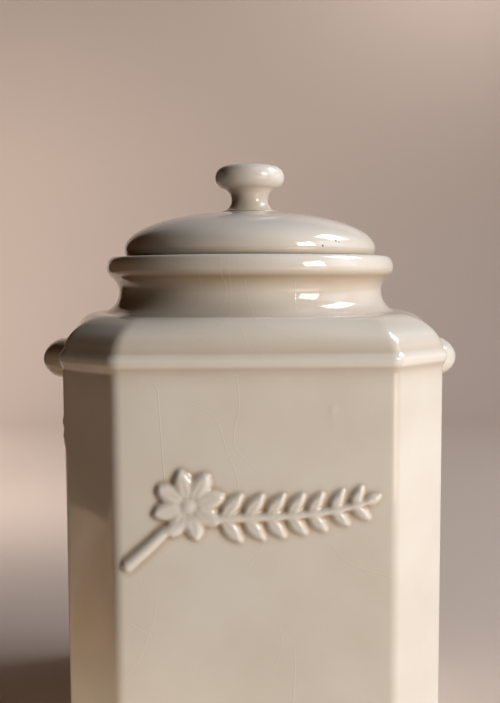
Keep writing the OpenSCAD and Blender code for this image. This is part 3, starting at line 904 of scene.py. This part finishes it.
# %% Bodies, replaced solids and finishes
for piece, node, body, slot, material in (
    (jar_glazed, "jar_body", "jar", "body_glaze", body_glaze),
    (left_lug, "left_lug", "jar", "lug_glaze", lug_glaze),
    (right_lug, "right_lug", "jar", "lug_glaze", lug_glaze),
    (lid_glazed, "lid", "lid", "lid_glaze", lid_glaze),
    (knob_glazed, "lid_knob", "lid", "knob_glaze", lid_glaze),
):
    piece.data.materials.append(material)
    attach(piece, body)
    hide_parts(node)

# %% [markdown]
# ## The studio
# The jar stands on one sweep of warm grey paper that turns up behind it, with a pale sheet on the
# table in front that sends light up, and a brown sheet to the left, whose darker colour is painted
# shade for the shaded floor there. The light is a tall window to the right in two panes, the far
# one brighter, with some cool sky from above and a little warm light low in front. The room to the
# left is dark, which gives the glaze its brown reflections; only the brown sheet there is lit, by a
# narrow lamp that hangs over it, so that its edge shows in the glaze of the left corner, and a very
# small lamp lights the foot of that corner. Seven weak lamps even out the paper behind the jar and
# at its bend, where a window this near would leave it grey.


# %% Stage pieces
def stage_sheet(name, points, colour):
    """A sheet through a grid of points in metres, painted and marked as part of the stage."""
    rows, cols = points.shape[:2]
    k, j = np.meshgrid(np.arange(rows - 1), np.arange(cols - 1), indexing="ij")
    start = k * cols + j
    quads = np.stack([start, start + 1, start + cols + 1, start + cols], -1)
    mesh = bpy.data.meshes.new(name)
    mesh.from_pydata(points.reshape(-1, 3).tolist(), [], quads.reshape(-1, 4).tolist())
    mesh.polygons.foreach_set("use_smooth", np.ones(len(mesh.polygons), bool))
    sheet = bpy.data.objects.new(name, mesh)
    bpy.context.scene.collection.objects.link(sheet)
    paint = bpy.data.materials.new(name + "_paint")
    paint.use_nodes = True
    shader = paint.node_tree.nodes["Principled BSDF"]
    shader.inputs["Base Color"].default_value = linear(colour)
    shader.inputs["Roughness"].default_value = 0.9
    sheet.data.materials.append(paint)


def flat_grid(x, y, z):
    """Points of a sheet over all pairs of the values of x and of the paired values of y and z."""
    x, y, z = np.asarray(x)[None, :], np.asarray(y)[:, None], np.asarray(z)[:, None]
    return np.stack(np.broadcast_arrays(x, y, z), -1)


# %% The paper sweep, whose left edge runs out at a slant, and the two sheets before it, in metres
SWEEP_X, SWEEP_FRONT = (-0.5, 1.1), -0.02
EDGE_SLANT, EDGE_RUN = 1.6, 0.15
BEND_Y, BEND_R, SWEEP_TOP = 0.9, 0.45, 2.2
TABLE_LEFT, TABLE_FRONT = -0.13, -1.7
SHADE_SHEET_LEFT, SHADE_SHEET_FRONT = -0.56, -0.5
bend = np.radians(np.linspace(-90, 0, 24))
flat_y = [SWEEP_FRONT, SWEEP_FRONT + EDGE_RUN]
sweep_y = np.concatenate([flat_y, BEND_Y + BEND_R * np.cos(bend), [BEND_Y + BEND_R]])
sweep_z = np.concatenate([[0.0, 0.0], BEND_R + BEND_R * np.sin(bend), [SWEEP_TOP]])
left_edge = SWEEP_X[0] - EDGE_SLANT * np.clip(sweep_y - sweep_y[0], 0, EDGE_RUN)
sweep = flat_grid(SWEEP_X, sweep_y, sweep_z)
sweep[:, 0, 0] = left_edge
stage_sheet("paper_sweep", sweep, "#D5C4B5")
table = flat_grid((TABLE_LEFT, SWEEP_X[1]), (TABLE_FRONT, SWEEP_FRONT), (0.0, 0.0))
stage_sheet("table_sheet", table, "#EFE4D6")
# A brown sheet whose darker colour is painted shade for the shaded floor left of the jar.
shade_sheet = flat_grid((SHADE_SHEET_LEFT, TABLE_LEFT), (SHADE_SHEET_FRONT, SWEEP_FRONT), (0.0, 0.0))
stage_sheet("brown_shade_sheet", shade_sheet, "#B89A76")


# %% A lamp of the studio
def panel_light(name, place, aim, width, height, watts, colour, beam=180):
    """A rectangular light at place that faces aim, with its beam as wide as so many degrees."""
    data = bpy.data.lights.new(name, "AREA")
    data.shape = "RECTANGLE"
    data.size, data.size_y = width, height
    data.energy = watts
    data.spread = np.radians(beam)
    data.color = linear(colour)[:3]
    lamp = bpy.data.objects.new(name, data)
    lamp.location = place
    lamp.rotation_mode = "QUATERNION"
    lamp.rotation_quaternion = (Vector(aim) - Vector(place)).to_track_quat("-Z", "Y")
    bpy.context.scene.collection.objects.link(lamp)


# %% Window, sky, and the small lamps near the table
WINDOW_X, WINDOW_Z, PANE_W, PANE_H = 1.2, 0.66, 0.66, 0.7
for pane, y, watts, colour in (("near", -0.38, 2.8, "#E4EEFF"), ("far", -1.10, 20.5, "#FFFCF8")):
    stand, facing = (WINDOW_X, y, WINDOW_Z), (0, y, WINDOW_Z)
    panel_light(f"window_{pane}", stand, facing, PANE_W, PANE_H, watts, colour)
panel_light("skylight", (0.95, 0.14, 1.1), (0, 0, 0.2), 0.5, 0.5, 9.3, "#EBF1FF")
panel_light("low_warm", (0.42, -0.45, 0.02), (0, -0.08, 0.1), 0.3, 0.25, 0.75, "#FFE0C4")
panel_light("table_left", (-0.40, -0.03, 0.3), (-0.40, -0.03, 0), 0.40, 0.12, 0.23, "#FFE8CC", 30)
panel_light("foot_left", (-0.25, -0.25, 0.1), (-0.08, -0.08, 0), 0.05, 0.05, 0.011, "#FFE8CC", 36)

# %% Seven weak lamps for the paper
panel_light("backdrop_left", (-0.7, 0.6, 0.5), (-0.45, 1.35, 0.3), 0.4, 0.4, 1.0, "#FFF4EF")
panel_light("backdrop_right", (0.95, 0.6, 0.95), (0.35, 1.35, 0.95), 0.4, 0.4, 1.35, "#FFF6F4")
panel_light("backdrop_high", (0.6, 0.7, 1.0), (0.45, 1.35, 1.0), 0.3, 0.3, 0.6, "#FFF6F4", 80)
panel_light("backdrop_low", (-0.8, 0.75, 0.3), (-0.45, 1.35, 0.28), 0.4, 0.4, 0.45, "#FFF4EF", 120)
panel_light("bend_left", (-0.5, 0.7, 0.25), (-0.35, 1.2, 0.08), 0.3, 0.3, 0.6, "#FFF4EF")
panel_light("floor_far", (-0.42, 0.3, 0.36), (-0.35, 1.3, -0.1), 0.3, 0.3, 0.8, "#FFF4EF")
panel_light("floor_mid", (-0.3, 0.42, 0.5), (-0.3, 0.42, 0), 0.3, 0.34, 0.26, "#FFF4EF", 70)

# %% The room: dark for the glaze, and the paper's own warm grey for the camera
world = bpy.data.worlds.new("room")
bpy.context.scene.world = world
world.use_nodes = True
room = world.node_tree
room.nodes.clear()
dark = add(room, "ShaderNodeBackground", {"Color": linear("#4A2E16"), "Strength": 0.25})
wall = add(room, "ShaderNodeBackground", {"Color": linear("#C5B4A9"), "Strength": 1.0})
seen = add(room, "ShaderNodeLightPath").outputs["Is Camera Ray"]
both = add(room, "ShaderNodeMixShader", {}, {0: seen, 1: dark.outputs[0], 2: wall.outputs[0]})
add(room, "ShaderNodeOutputWorld", {}, {"Surface": both.outputs[0]})

# %% [markdown]
# ## Camera
# It stands about 36 cm in front of the panel, level with the rim, and looks slightly down, so the
# foot is out of view.

# %% Camera
CAMERA_X, CAMERA_Y, CAMERA_OVER_LEDGE = -13.1, -436.6, 36.4
HEADING, PITCH, ROLL = 1.70, 4.62, 0.25
LENS = 46.3
camera_data = bpy.data.cameras.new("camera")
camera_data.lens = LENS
camera_data.sensor_width = 36
camera = bpy.data.objects.new("camera", camera_data)
turn = (
    Matrix.Rotation(np.radians(-HEADING), 4, "Z")
    @ Matrix.Rotation(np.radians(90 - PITCH), 4, "X")
    @ Matrix.Rotation(np.radians(-ROLL), 4, "Z")
)
place = Vector((CAMERA_X, CAMERA_Y, WALL_TOP + CAMERA_OVER_LEDGE)) * MM
camera.matrix_world = Matrix.Translation(place) @ turn
bpy.context.scene.collection.objects.link(camera)
bpy.context.scene.camera = camera
bpy.context.scene.view_settings.view_transform = "Standard"
